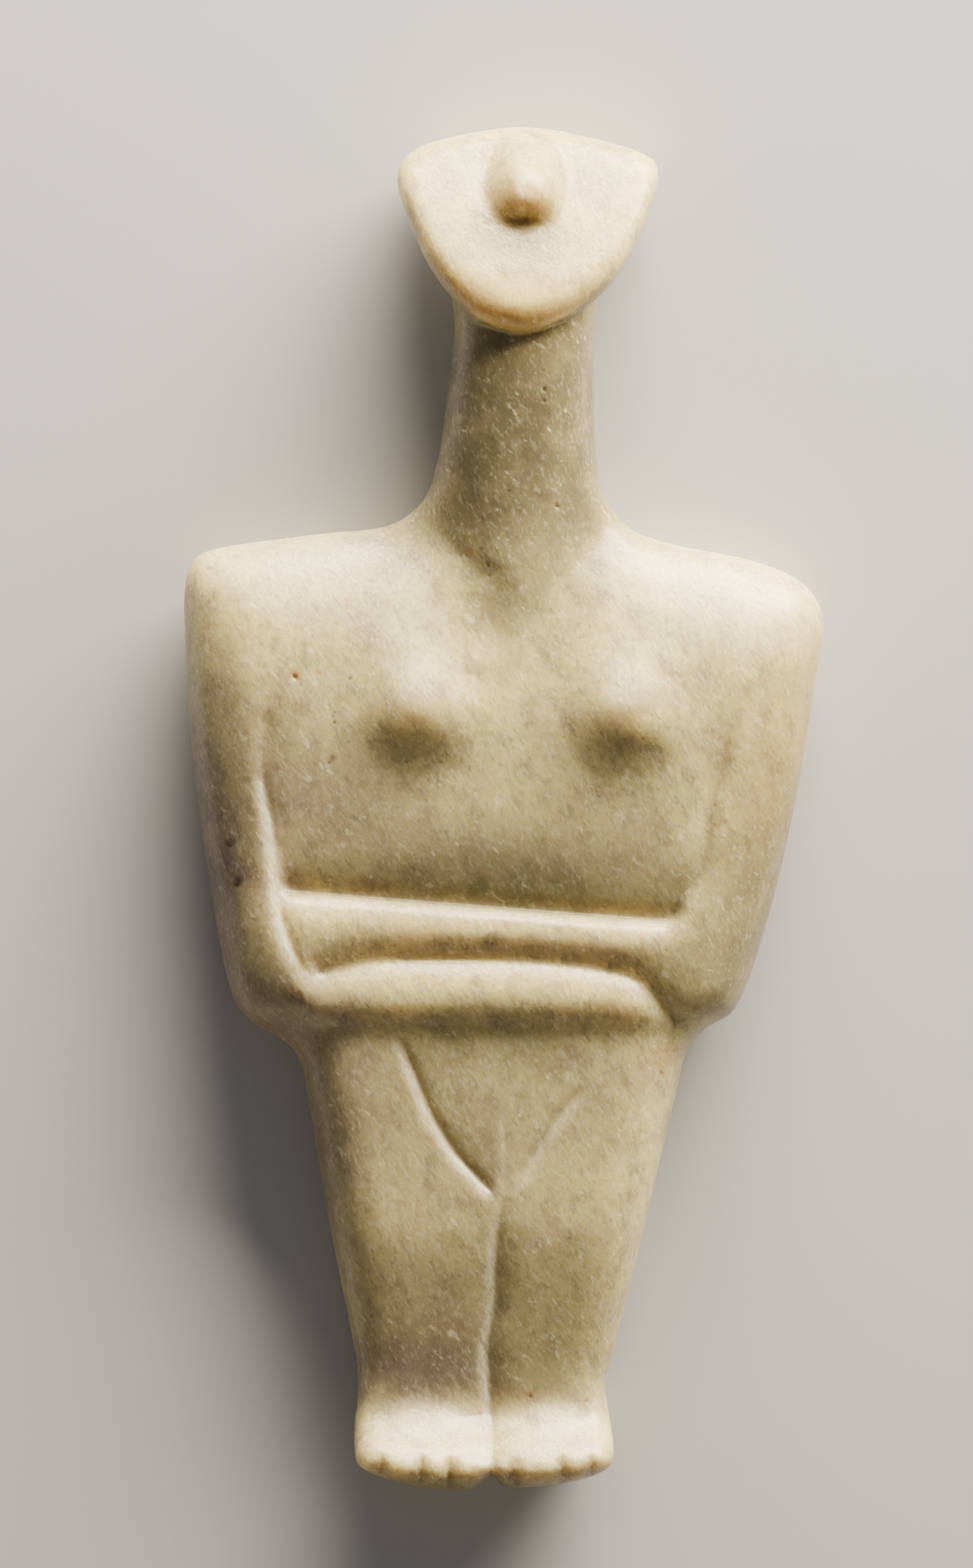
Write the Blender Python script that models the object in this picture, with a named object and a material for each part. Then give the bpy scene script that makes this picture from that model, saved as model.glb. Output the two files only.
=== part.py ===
"""Marble figurine of a woman with folded arms, carved from one block and lying on its back.

+Y runs from the toes to the crown, +Z is the figure's front, +X is on the right of someone who
looks at its front. The origin is under the middle of the figure, on the surface it lies on.
"""

import bmesh
import bpy
import numpy as np
from mathutils import Matrix, geometry

# Driving sizes, in metres.
LENGTH = 0.260
SHOULDER_WIDTH = 0.1226
TORSO_DEPTH = 0.0260
NOSE_HEIGHT = 0.0078
BREAST_HEIGHT = 0.0045
BREAST_RADIUS = 0.0094
CARVING_DEPTH = 0.0030
CARVING_WIDTH = 0.0022
FLAT_BACK_CUT = 0.0010
BODY_WEAR = 0.0036
HEAD_WEAR = 0.0022

# Fineness of the faceted surface.
RIM_STEP = LENGTH / 80
RIM_TURN = np.radians(14)
LINE_STEP = LENGTH / 110
FILL_STEP = LENGTH / 54
FRONT_RIM_ROWS = (16, 33, 51, 70, 90)
BACK_RIM_ROWS = (22, 45, 68, 90)

# Every shape below is given in thousandths: heights of LENGTH above the toes, widths of
# SHOULDER_WIDTH from the middle line, and depths of TORSO_DEPTH above the surface underneath.
THOUSANDTH = 0.001

# Outline on the -X side, from the cleft between the feet up to the neck inside the head.
OUTLINE_MINUS_X = [
    (-19, 10.9), (-36, 5), (-57, 0.4), (-143, 4.6), (-221, 16.5), (-233, 33), (-229, 72),
    (-233, 102), (-267, 183), (-304, 282), (-319, 315), (-345, 330), (-398, 345), (-426, 367),
    (-454, 434), (-485, 538), (-498, 632), (-496, 665), (-480, 683), (-440, 691), (-288, 701),
    (-183, 707), (-128, 724.5), (-104, 753), (-89, 801), (-77, 850), (-75, 925),
]

# Outline on the +X side, over the same stretch.
OUTLINE_PLUS_X = [
    (-19, 10.9), (-6, 5), (12, 2.3), (95, 5.7), (157, 15), (171, 28), (159, 73), (166, 93),
    (217, 188), (264, 282), (285, 321), (315, 338), (360, 352), (397, 396), (448, 490),
    (488, 601), (498, 636), (488, 652), (457, 668), (382, 682), (261, 694), (189, 707.5),
    (153, 736), (141, 775), (139, 837), (138, 925),
]

# Outline of the shield-shaped head, from its -X corner over the crown and round the chin.
OUTLINE_HEAD = [
    (-166, 960), (-159, 975), (-120, 987.5), (-23, 998), (37, 1000), (120, 994), (221, 979),
    (240, 964), (218, 926), (165, 882), (97, 855), (29, 842.6), (-43, 855), (-111, 892), (-157, 941),
]

# Profiles of the body by height: its front, the level of its edges, and its back.
BODY_FRONT = [
    (0, 1030), (15, 1050), (30, 950), (45, 800), (56, 708), (66, 688), (90, 696), (130, 750),
    (199, 860), (225, 864), (250, 860), (306, 868), (326, 866), (337, 890), (346, 940), (357, 985),
    (370, 998), (405, 990), (430, 962), (450, 948), (480, 944), (520, 950), (560, 955), (600, 947),
    (640, 900), (670, 842), (695, 778), (720, 750), (900, 750), (925, 600),
]
BODY_EDGE = [
    (0, 800), (25, 740), (45, 600), (75, 420), (130, 400), (306, 430), (345, 470), (600, 460),
    (690, 450), (750, 520), (860, 560), (925, 420),
]
BODY_BACK = [
    (0, 640), (20, 380), (35, 130), (50, 40), (75, 110), (95, 120), (135, 40), (200, 60),
    (250, 30), (300, -40), (345, -30), (400, 0), (500, -20), (600, -40), (670, -20), (700, 20),
    (750, 90), (840, 130), (925, 150),
]
BACK_CURVE = 100

# How far the edges' rounding reaches into the front and into the back, by height.
BODY_FRONT_ROUND = [
    (0, 120), (30, 150), (60, 200), (95, 330), (300, 380), (345, 470), (400, 600), (590, 620), (650, 700),
    (700, 760), (735, 560), (770, 470), (925, 470),
]
BODY_BACK_ROUND = [
    (0, 150), (60, 200), (95, 300), (345, 380), (650, 420), (720, 480), (760, 470), (925, 470),
]

# The neck's front runs down over the chest as a tapering wedge that ends in a point.
NECK_MIDDLE = [(600, 17), (750, 20), (840, 31), (925, 31)]
NECK_FRONT = [
    (555, 500), (598, 915), (617, 934), (650, 938), (700, 948), (750, 968), (840, 1025), (875, 970),
    (925, 600),
]
NECK_WEDGE_HALF_WIDTH = [(590, 16), (617, 30), (703, 122), (745, 190), (780, 400), (925, 400)]
NECK_WEDGE_DROP = 170
NECK_WEDGE_BLEND = 50

# The head leans back: its rim falls from the chin to the crown, and so do its face and back.
HEAD_RIM = [(830, 950), (843, 945), (880, 870), (920, 720), (1000, 300)]
HEAD_FACE_RISE = [(830, 240), (843, 265), (860, 295), (880, 265), (920, 205), (960, 180), (1000, 150)]
HEAD_ROUND = [(830, 350), (850, 320), (870, 260), (900, 180), (930, 135), (960, 115), (1000, 105)]
HEAD_BACK = [(830, 900), (848, 780), (875, 600), (905, 380), (935, 210), (965, 130), (1000, 90)]
HEAD_LEAST_DEPTH = 120

# The nose is a wedge on the face that widens and rises towards its blunt lower end.
NOSE_MIDDLE = 37
NOSE_RISE = [
    (928, 0), (931, 190), (935, 420), (940, 660), (946, 860), (953, 965), (959, 1000), (966, 940),
    (976, 720), (987, 330), (997, 0),
]
NOSE_HALF_WIDTH = [(924, 30), (933, 47), (944, 58), (957, 62), (972, 56), (985, 47), (1000, 40)]

# Stretches that need closer points: from and to across, the points' spacing, and the rows' heights.
BODY_SHAPING = [
    (-300, 300, 24, (332, 340, 347, 356, 366)),
    (-220, 158, 13, (6, 11, 17, 24, 32, 42)),
]

# The same across the nose: the rows' heights, and places across as shares of its half width.
NOSE_SHAPING = (926, 930, 934, 938, 943, 949, 955, 961, 968, 976, 985, 993)
NOSE_SHAPING_ACROSS = np.array([-1.3, -1, -0.82, -0.6, -0.35, 0, 0.35, 0.6, 0.82, 1, 1.3])

# How steeply the breasts fall away below and above their middles, against across.
BREAST_FALL = (1.35, 0.78)

# Middles of the breasts: across and height.
BREASTS = [(-130, 568), (190, 566)]

# Places of the clefts between the toes, across the two feet.
TOE_CLEFTS = [-190, -129, -85, 16, 90, 135]


def slopes_of(knots):
    """Slopes at a table's points that let a curve through them never swing past them."""
    rise = np.diff(knots[:, 1]) / np.diff(knots[:, 0])
    slopes = np.zeros(len(knots))
    slopes[0], slopes[-1] = rise[0], rise[-1]
    before, after = rise[:-1], rise[1:]
    same_way = before * after > 0
    slopes[1:-1][same_way] = 2 * (before * after)[same_way] / (before + after)[same_way]
    return slopes


class Profile:
    """A value that changes smoothly along a table of (thousandths, value) points."""

    STEPS = 12

    def __init__(self, table):
        knots = np.array(table, float)
        slopes = slopes_of(knots)
        share = np.linspace(0, 1, self.STEPS, endpoint=False)
        at, value = [], []
        for (x0, y0), (x1, y1), m0, m1 in zip(knots, knots[1:], slopes, slopes[1:]):
            span = x1 - x0
            at.append(x0 + share * span)
            start = y0 * (1 + 2 * share) + span * m0 * share
            end = y1 * (3 - 2 * share) - span * m1 * (1 - share)
            value.append(start * (1 - share) ** 2 + end * share**2)
        self.at = np.append(np.concatenate(at), knots[-1, 0])
        self.value = np.append(np.concatenate(value), knots[-1, 1])

    def __call__(self, thousandths):
        return np.interp(thousandths, self.at, self.value)


def placed(points):
    """Points in thousandths (across, height) as metres in the XY plane."""
    across, height = np.asarray(points, float).T * THOUSANDTH
    return np.column_stack([across * SHOULDER_WIDTH, (height - 0.5) * LENGTH])


def shares(plan):
    """Points of the XY plane in metres as thousandths (across, height)."""
    x, y = np.asarray(plan).T
    return x / (THOUSANDTH * SHOULDER_WIDTH), (y / LENGTH + 0.5) / THOUSANDTH


def smooth_loop(knots, steps=16):
    """A closed curve through the knots, eased by the distances between them."""
    knots = np.asarray(knots)
    found = []
    for index in range(len(knots)):
        four = [knots[(index + shift) % len(knots)] for shift in (-1, 0, 1, 2)]
        gaps = [max(np.linalg.norm(b - a) ** 0.5, 1e-9) for a, b in zip(four, four[1:])]
        leave = (four[2] - four[0]) * gaps[1] / (gaps[0] + gaps[1])
        arrive = (four[3] - four[1]) * gaps[1] / (gaps[1] + gaps[2])
        for t in np.arange(steps) / steps:
            found.append(
                four[1] * (1 + 2 * t) * (1 - t) ** 2
                + four[2] * t**2 * (3 - 2 * t)
                + leave * t * (1 - t) ** 2
                - arrive * t**2 * (1 - t)
            )
    return np.array(found)


def rim_points(loop, step):
    """The loop again with points a step apart, and closer where it turns."""
    along = np.roll(loop, -1, axis=0) - loop
    length = np.linalg.norm(along, axis=1)
    heading = np.arctan2(along[:, 1], along[:, 0])
    turn = np.abs((np.roll(heading, -1) - heading + np.pi) % (2 * np.pi) - np.pi)
    reached = np.concatenate([[0], np.cumsum(length / step + turn / RIM_TURN)])
    wanted = np.linspace(0, reached[-1], int(reached[-1]), endpoint=False)
    closed = np.vstack([loop, loop[:1]])
    return np.column_stack([np.interp(wanted, reached, closed[:, k]) for k in (0, 1)])


def inward(loop):
    """Unit directions that point into a loop from each of its points."""
    along = np.roll(loop, -1, axis=0) - np.roll(loop, 1, axis=0)
    sideways = np.column_stack([along[:, 1], -along[:, 0]])
    sideways /= np.linalg.norm(sideways, axis=1, keepdims=True)
    x, y = loop.T
    clockwise = (x * np.roll(y, -1) - np.roll(x, -1) * y).sum() < 0
    return sideways if clockwise else -sideways


class Depth:
    """How far inside an outline a point lies, zero outside it.

    Corners and ridges where the nearest edge changes are worn away, as rubbing wears them.
    """

    CELL = LENGTH / 500
    RUBS = 160

    def __init__(self, outline, wear):
        self.low = outline.min(axis=0) - 4 * self.CELL
        count = np.ceil((outline.max(axis=0) - self.low) / self.CELL).astype(int) + 5
        xs, ys = (self.low[k] + self.CELL * np.arange(count[k]) for k in (0, 1))
        x, y = np.meshgrid(xs, ys, indexing="ij")
        nearest = np.full(x.shape, np.inf)
        inside = np.zeros(x.shape, bool)
        for (ax, ay), (bx, by) in zip(outline, np.roll(outline, -1, axis=0)):
            dx, dy = bx - ax, by - ay
            along = np.clip(((x - ax) * dx + (y - ay) * dy) / (dx * dx + dy * dy), 0, 1)
            nearest = np.minimum(nearest, np.hypot(x - ax - along * dx, y - ay - along * dy))
            crosses = (ay > y) != (by > y)
            if dy:
                inside ^= crosses & (x < ax + (y - ay) * dx / dy)
        signed = np.where(inside, nearest, -nearest)
        inner = signed > 1.5 * self.CELL
        faded = np.exp(-np.maximum(signed, 0) / wear)
        spread = (2 * wear / self.CELL) ** 2
        for _ in range(self.RUBS):
            around = sum(np.roll(faded, shift, axis) for shift in (1, -1) for axis in (0, 1)) / 4
            faded = np.where(inner, around * spread / (1 + spread), faded)
        self.grid = np.where(inner, -wear * np.log(faded), signed)

    def __call__(self, plan):
        place = (plan - self.low) / self.CELL
        place = np.clip(place, 0, np.array(self.grid.shape) - 1.001)
        cell = place.astype(int)
        (u, v), (i, j) = (place - cell).T, cell.T
        low = self.grid[i, j] * (1 - u) + self.grid[i + 1, j] * u
        high = self.grid[i, j + 1] * (1 - u) + self.grid[i + 1, j + 1] * u
        return np.maximum(low * (1 - v) + high * v, 0)


def smooth_share(value):
    """A share from 0 to 1 that leaves both ends level."""
    share = np.clip(value, 0, 1)
    return share**2 * (3 - 2 * share)


class CarvedLine:
    """A cut that follows a smooth line over the front, the back or both.

    The line's points are (across, height). Its depth fades out at both ends, and falls away at
    its own rate on each side: to the right and to the left of someone who follows the line.
    A line may stop at other lines: each of those comes with the side of it that the cut keeps to,
    1 for its left and -1 for its right.
    """

    STEPS = 40

    def __init__(self, points, depth, width, fade=(0, 0), sides=("front",), stops=()):
        self.depth, self.width, self.fade, self.sides = depth, width, fade, sides
        self.stops = stops
        knots = placed(points)
        reached = np.concatenate([[0], np.cumsum(np.linalg.norm(np.diff(knots, axis=0), axis=1))])
        curves = [Profile(np.column_stack([reached, knots[:, k]])) for k in (0, 1)]
        self.reached = np.linspace(0, reached[-1], self.STEPS)
        self.path = np.column_stack([curve(self.reached) for curve in curves])

    def strength(self, reached):
        """Share of the full depth at a distance along the line."""
        left = self.reached[-1] - reached
        strength = np.ones(len(reached))
        for gone, fade in zip((reached, left), self.fade):
            if fade:
                strength = strength * smooth_share(gone / fade + 0.02)
        return strength

    def nearest(self, plan):
        """Each point's distance from the line, how far to its left it lies, and where along it."""
        away = np.full(len(plan), np.inf)
        left = np.zeros(len(plan))
        where = np.zeros(len(plan))
        for a, b, start in zip(self.path, self.path[1:], self.reached):
            step = b - a
            length = np.hypot(*step)
            along = np.clip((plan - a) @ step / length**2, 0, 1)
            gap = plan - a - along[:, None] * step
            size = np.hypot(*gap.T)
            aside = (step[0] * gap[:, 1] - step[1] * gap[:, 0]) / (length * np.maximum(size, 1e-12))
            closer = size < away
            away = np.where(closer, size, away)
            left = np.where(closer, aside, left)
            where = np.where(closer, start + along * length, where)
        return away, left, where

    def cut(self, plan):
        """Depth of the cut in metres."""
        away, left, where = self.nearest(plan)
        width = ((1 - left) * self.width[0] + (1 + left) * self.width[1]) / 2
        blunt = 0.15 * width
        cut = self.depth * self.strength(where) * np.exp((blunt - np.hypot(away, blunt)) / width)
        for stop, way in self.stops:
            stop_away, stop_left, _ = stop.nearest(plan)
            cut = cut * smooth_share(0.5 + way * stop_away * stop_left / CARVING_WIDTH)
        return cut

    def rows(self):
        """Rows of points along the line: its bottom first, then those that shape its sides."""
        count = max(int(self.reached[-1] / LINE_STEP), 2) + 1
        wanted = np.linspace(0, self.reached[-1], count)
        bottom = np.column_stack([np.interp(wanted, self.reached, self.path[:, k]) for k in (0, 1)])
        along = np.gradient(bottom, axis=0)
        left = np.column_stack([-along[:, 1], along[:, 0]])
        left /= np.linalg.norm(left, axis=1, keepdims=True)
        found = [bottom]
        for width, way in zip(self.width, (-1, 1)):
            for share in (0.15, 0.45, 1.2, 2.4):
                if 0.25 * LINE_STEP < share * width < 1.5 * FILL_STEP:
                    found.append(bottom + left * way * share * width)
        return found


def carved_lines():
    """Every line cut into the body, named by what it marks."""
    valley, width = CARVING_DEPTH, CARVING_WIDTH
    rise = THOUSANDTH * LENGTH
    arm_minus_x = CarvedLine(
        [(-306, 371), (-316, 387), (-339, 412), (-349, 432), (-349, 454), (-359, 490), (-373, 523),
         (-371, 553), (-357, 600)],
        0.40 * valley, (1.2 * width, 0.5 * width), (8 * rise, 60 * rise),
    )
    arm_plus_x = CarvedLine(
        [(273, 421), (282, 433), (309, 456), (321, 497), (337, 523), (350, 554), (361, 594)],
        0.50 * valley, (0.5 * width, 1.2 * width), (0, 90 * rise),
    )
    lines = {
        "arm_minus_x": arm_minus_x,
        "arm_plus_x": arm_plus_x,
        "upper_forearm_top": CarvedLine(
            [(-349, 440), (-154, 433.5), (35, 426.5), (224, 419.5), (273, 419)],
            1.1 * valley, (width, 2.9 * width), stops=((arm_minus_x, -1), (arm_plus_x, 1)),
        ),
        "between_forearms": CarvedLine(
            [(-305, 377), (-250, 384), (-190, 389), (-12, 389), (83, 386.5), (153, 382), (201, 376.5),
             (234, 362), (253, 350), (288, 338)],
            0.95 * valley, (1.1 * width, 1.5 * width), (5 * rise, 28 * rise),
        ),
        "pubic_minus_x": CarvedLine(
            [(-17, 217), (-39, 229), (-74, 247), (-109, 274), (-135, 303), (-159, 328)],
            0.28 * valley, (0.9 * width, 0.35 * width), (2 * rise, 20 * rise),
        ),
        "pubic_plus_x": CarvedLine(
            [(22, 228), (48, 247), (83, 274), (122, 296.5)],
            0.16 * valley, (0.6 * width, 0.6 * width), (12 * rise, 14 * rise),
        ),
        "legs": CarvedLine(
            [(-20.5, 9), (-18, 32), (-21.5, 74), (-24, 100), (-13, 140), (-12.5, 157), (-8.5, 188),
             (0.5, 213)],
            0.45 * valley, (width, width), (2 * rise, 40 * rise),
        ),
        "spine": CarvedLine(
            [(-19, 14), (-18, 120), (-6, 220), (0, 330), (14, 690)],
            0.35 * valley, (0.6 * width, 0.6 * width), (4 * rise, 60 * rise), ("back",),
        ),
    }
    for number, across in enumerate(TOE_CLEFTS, start=1):
        lines[f"toe_cleft_{number}"] = CarvedLine(
            [(across, 6), (across + 2, 29)], 0.45 * valley, (0.8 * width, 0.8 * width), (0, 14 * rise)
        )
    return lines


BODY = {name: Profile(table) for name, table in {
    "front": BODY_FRONT, "edge": BODY_EDGE, "back": BODY_BACK, "front_round": BODY_FRONT_ROUND,
    "back_round": BODY_BACK_ROUND, "neck_middle": NECK_MIDDLE, "neck_front": NECK_FRONT,
    "neck_half_width": NECK_WEDGE_HALF_WIDTH,
}.items()}
HEAD = {name: Profile(table) for name, table in {
    "rim": HEAD_RIM, "rise": HEAD_FACE_RISE, "back": HEAD_BACK, "round": HEAD_ROUND,
    "nose": NOSE_RISE, "nose_half_width": NOSE_HALF_WIDTH,
}.items()}


def in_depth(thousandths):
    """A depth given in thousandths of TORSO_DEPTH, in metres."""
    return thousandths * THOUSANDTH * TORSO_DEPTH


def soft_maximum(a, b, softness):
    """The larger of two values, blended where they differ by less than the softness."""
    near = np.clip(0.5 + 0.5 * (a - b) / softness, 0, 1)
    return b + (a - b) * near + softness * near * (1 - near)


def body_levels(plan):
    """Front, edge and back levels of the body, with how far their rounding reaches."""
    across, height = shares(plan)
    aside = (across - BODY["neck_middle"](height)) / BODY["neck_half_width"](height)
    wedge = in_depth(BODY["neck_front"](height) - NECK_WEDGE_DROP * aside**2)
    front = soft_maximum(in_depth(BODY["front"](height)), wedge, in_depth(NECK_WEDGE_BLEND))
    for middle in placed(BREASTS):
        dx, dy = (plan - middle).T
        away = np.hypot(dx, dy * np.where(dy < 0, *BREAST_FALL)) / BREAST_RADIUS
        front = front + BREAST_HEIGHT * np.exp(-1.2 * away**2.4)
    back = in_depth(BODY["back"](height) + BACK_CURVE * (across * THOUSANDTH / 0.5) ** 2)
    return {
        "front": front,
        "edge": in_depth(BODY["edge"](height)),
        "back": back - FLAT_BACK_CUT,
        "front_round": in_depth(BODY["front_round"](height)),
        "back_round": in_depth(BODY["back_round"](height)),
    }


def head_levels(plan):
    """The same levels for the head, whose face carries the nose."""
    across, height = shares(plan)
    rim = in_depth(HEAD["rim"](height))
    aside = np.clip(np.abs(across - NOSE_MIDDLE) / HEAD["nose_half_width"](height), 0, 1)
    nose = THOUSANDTH * NOSE_HEIGHT * HEAD["nose"](height) * (1 - aside**2)
    return {
        "front": rim + in_depth(HEAD["rise"](height)) + nose,
        "edge": rim,
        "back": np.minimum(in_depth(HEAD["back"](height)), rim - in_depth(HEAD_LEAST_DEPTH)),
        "front_round": in_depth(HEAD["round"](height)),
        "back_round": in_depth(HEAD["round"](height)),
    }


def body_rows():
    """Rows of points that shape the breasts, the lower edge of the folded arms and the toes."""
    turns = np.linspace(0, 2 * np.pi, 14, endpoint=False)
    circle = np.column_stack([np.cos(turns), np.sin(turns)])
    rows = [middle + share * BREAST_RADIUS * circle for middle in placed(BREASTS) for share in (0.4, 0.8, 1.3)]
    for low, high, spacing, heights in BODY_SHAPING:
        across = np.arange(low, high + spacing / 2, spacing)
        rows += [placed(np.column_stack([across, np.full(len(across), height)])) for height in heights]
    return rows


def head_rows():
    """Rows of points across the nose."""
    rows = []
    for height in NOSE_SHAPING:
        across = NOSE_MIDDLE + NOSE_SHAPING_ACROSS * HEAD["nose_half_width"](height)
        rows.append(placed(np.column_stack([across, np.full(len(across), height)])))
    return rows


class Slab:
    """A slab of marble sawn to an outline, whose front and back are carved to a height map."""

    def __init__(self, knots, levels, lines, shaping_rows, wear, grain=1.0):
        loop = smooth_loop(placed(knots))
        self.grain = grain
        self.rim = rim_points(loop, grain * RIM_STEP)
        self.depth = Depth(loop, wear)
        self.levels, self.lines, self.shaping_rows = levels, lines, shaping_rows

    def height_of(self, side, plan):
        """Heights of one side above points of the XY plane."""
        levels = self.levels(plan)
        inset = 1 - np.minimum(self.depth(plan) / levels[f"{side}_round"], 1)
        cut = np.zeros(len(plan))
        for line in self.lines:
            if side in line.sides:
                cut = np.cbrt(cut**3 + line.cut(plan) ** 3)
        carved = levels[side] - cut if side == "front" else levels[side] + cut
        return np.maximum(levels["edge"] + (carved - levels["edge"]) * np.sqrt(1 - inset**2), 0)

    def rows(self, side):
        """Rows of points that shape one side, each with its spacing and whether it stays an edge."""
        for line in self.lines:
            if side in line.sides:
                bottom, *beside = line.rows()
                yield bottom, 0.4 * LINE_STEP, True
                for row in beside:
                    yield row, 0.4 * min(min(line.width), LINE_STEP), False
        if side == "front":
            for row in self.shaping_rows:
                yield row, 0.3 * np.linalg.norm(row[1] - row[0]), False
        into = inward(self.rim)
        reach = self.levels(self.rim)[f"{side}_round"]
        for turn in FRONT_RIM_ROWS if side == "front" else BACK_RIM_ROWS:
            inset = reach * (1 - np.cos(np.radians(turn)))
            row = self.rim + into * inset[:, None]
            yield row[self.depth(row) > 0.8 * inset], 0.33 * self.grain * RIM_STEP, False
        low, high = self.rim.min(axis=0), self.rim.max(axis=0)
        step = self.grain * FILL_STEP
        for number, y in enumerate(np.arange(low[1], high[1], step * 0.866)):
            xs = np.arange(low[0] + step * 0.5 * (number % 2), high[0], step)
            yield np.column_stack([xs, np.full(len(xs), y)]), 0.7 * step, False

    def side_mesh(self, bm, side):
        """Adds one side of the slab to the bmesh, over triangles that keep to rim and carved lines."""
        count = len(self.rim)
        points = self.rim
        edges = [(index, (index + 1) % count) for index in range(count)]
        margin = 0.3 * LINE_STEP
        for row, spacing, kept in self.rows(side):
            first = len(points)
            for point in row[self.depth(row) > margin]:
                if np.hypot(*(points - point).T).min() > spacing:
                    points = np.vstack([points, point])
            if kept:
                edges += [(index, index + 1) for index in range(first, len(points) - 1)]
        plan, _, faces, origins, *_ = geometry.delaunay_2d_cdt(points.tolist(), edges, [], 1, 1e-6)
        plan = np.array(plan)
        on_rim = [min(origin, default=count) < count for origin in origins]
        heights = np.where(on_rim, self.levels(plan)["edge"], self.height_of(side, plan))
        verts = [bm.verts.new((x, y, z)) for (x, y), z in zip(plan, heights)]
        for face in faces:
            bm.faces.new([verts[index] for index in face])

    def mesh(self, name):
        bm = bmesh.new()
        for side in ("front", "back"):
            self.side_mesh(bm, side)
        bmesh.ops.remove_doubles(bm, verts=bm.verts, dist=1e-7)
        bmesh.ops.recalc_face_normals(bm, faces=bm.faces)
        made = bpy.data.meshes.new(name)
        bm.to_mesh(made)
        bm.free()
        return made


def united(first, second):
    """One mesh from two that overlap."""
    objects = [bpy.data.objects.new(mesh.name, mesh) for mesh in (first, second)]
    for obj in objects:
        bpy.context.scene.collection.objects.link(obj)
    union = objects[0].modifiers.new("Union", "BOOLEAN")
    union.operation = "UNION"
    union.solver = "EXACT"
    union.object = objects[1]
    graph = bpy.context.evaluated_depsgraph_get()
    made = bpy.data.meshes.new_from_object(objects[0].evaluated_get(graph))
    for obj in objects:
        bpy.data.objects.remove(obj)
    return made


def tidied(mesh):
    """The mesh without slivers, as triangles."""
    bm = bmesh.new()
    bm.from_mesh(mesh)
    bmesh.ops.remove_doubles(bm, verts=bm.verts, dist=1e-5)
    bmesh.ops.triangulate(bm, faces=bm.faces)
    bm.to_mesh(mesh)
    bm.free()
    return mesh


def centred(mesh):
    """Moves the mesh so that the middle of its length and of its width is over the origin."""
    points = np.array([vertex.co[:2] for vertex in mesh.vertices])
    x, y = (points.min(axis=0) + points.max(axis=0)) / 2
    mesh.transform(Matrix.Translation((-x, -y, 0)))


def marble():
    material = bpy.data.materials.new("marble")
    material.use_nodes = True
    shader = material.node_tree.nodes["Principled BSDF"]
    shader.inputs["Base Color"].default_value = (0.66, 0.58, 0.43, 1)
    shader.inputs["Roughness"].default_value = 0.48
    shader.inputs["Metallic"].default_value = 0.0
    return material


def main():
    for leftover in list(bpy.data.objects):
        bpy.data.objects.remove(leftover)
    lines = list(carved_lines().values())
    body = Slab(OUTLINE_MINUS_X + OUTLINE_PLUS_X[:0:-1], body_levels, lines, body_rows(), BODY_WEAR)
    head = Slab(OUTLINE_HEAD, head_levels, [], head_rows(), HEAD_WEAR, grain=0.6)
    mesh = tidied(united(body.mesh("body"), head.mesh("head")))
    centred(mesh)
    mesh.name = "marble_figurine"
    mesh.materials.clear()
    mesh.materials.append(marble())
    mesh.shade_smooth()
    figurine = bpy.data.objects.new("marble_figurine", mesh)
    bpy.context.scene.collection.objects.link(figurine)
    return figurine


if __name__ == "__main__":
    main()
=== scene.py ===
"""Dresses the marble figurine: a figure with folded arms that lies on its back on a pale floor."""

import logging
import math
from collections.abc import Sequence
from dataclasses import dataclass, field
from enum import Enum
from typing import ClassVar

import bmesh
import bpy
import numpy as np
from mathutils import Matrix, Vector, noise


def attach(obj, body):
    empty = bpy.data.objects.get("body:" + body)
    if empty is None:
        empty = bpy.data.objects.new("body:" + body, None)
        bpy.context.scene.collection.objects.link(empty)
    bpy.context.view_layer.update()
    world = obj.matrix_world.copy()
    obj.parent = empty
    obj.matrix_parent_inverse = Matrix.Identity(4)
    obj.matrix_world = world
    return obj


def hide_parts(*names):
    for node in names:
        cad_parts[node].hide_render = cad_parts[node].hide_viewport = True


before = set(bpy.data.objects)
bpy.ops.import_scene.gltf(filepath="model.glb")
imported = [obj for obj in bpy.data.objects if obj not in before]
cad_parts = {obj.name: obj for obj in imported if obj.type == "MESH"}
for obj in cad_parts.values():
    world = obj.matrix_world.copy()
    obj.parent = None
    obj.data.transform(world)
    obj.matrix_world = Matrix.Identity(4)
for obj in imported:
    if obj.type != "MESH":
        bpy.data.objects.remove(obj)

MM = 0.001
LOG = logging.getLogger("figurine")

# Points of the mesh that are closer than this are one point
ONE_POINT = 0.002 * MM

# The hand that abraded the stone moved this way, in degrees from the line across the figure
ABRADING_SLANT = -62.0

# The neck lies lower than this and the face above it, in millimetres over the floor
UNDER_CHIN = 27.2

# A face belongs to a side from the lower of these shares of facing straight out, and fully from the
# upper one
FACING = (0.05, 0.55)

Point = tuple[float, float]
Point3 = tuple[float, float, float]
Socket = bpy.types.NodeSocket


class Side(Enum):
    """The two broad sides of the slab that the figure is carved from."""

    FRONT = 1.0
    BACK = -1.0

    def facing(self, normals: np.ndarray) -> np.ndarray:
        """Gives how squarely each point of the surface faces out of this side, from 0 to 1."""
        least, full = FACING
        return smooth_fall(full - self.value * normals[:, 2], full - least)


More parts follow.
